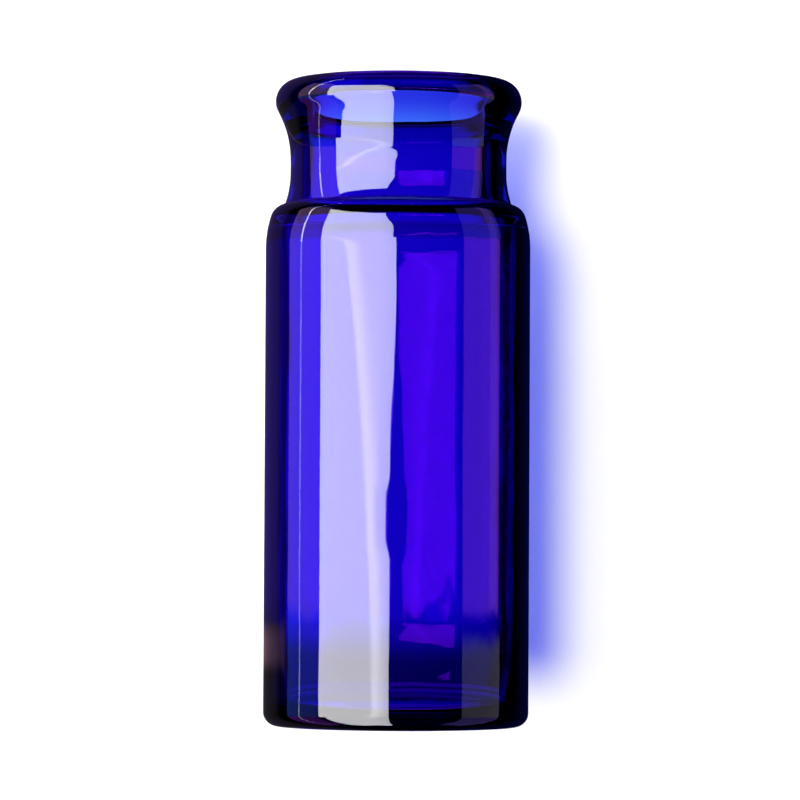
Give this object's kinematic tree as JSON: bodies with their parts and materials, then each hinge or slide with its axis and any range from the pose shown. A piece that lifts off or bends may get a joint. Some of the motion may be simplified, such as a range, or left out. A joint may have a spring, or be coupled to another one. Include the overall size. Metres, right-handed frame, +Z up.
{
  "type": "wide-mouth glass bottle",
  "caption": "Cylindrical thick-walled blue glass bottle with a flat shoulder, a short waisted neck, a flared rounded lip and a wide open mouth.",
  "frame": {"origin": "centre of the base, on the plane of the foot ring that the bottle stands on", "axes": "+Z up along the bottle's axis of revolution, out of the mouth; X and Y are free, because the bottle is the same all round"},
  "size_m": [0.082, 0.082, 0.2],
  "materials": {
    "glass": "smooth, fire-polished, see-through deep cobalt blue"
  },
  "bodies": {
    "root": {"bottle": "glass"}
  },
  "joints": []
}
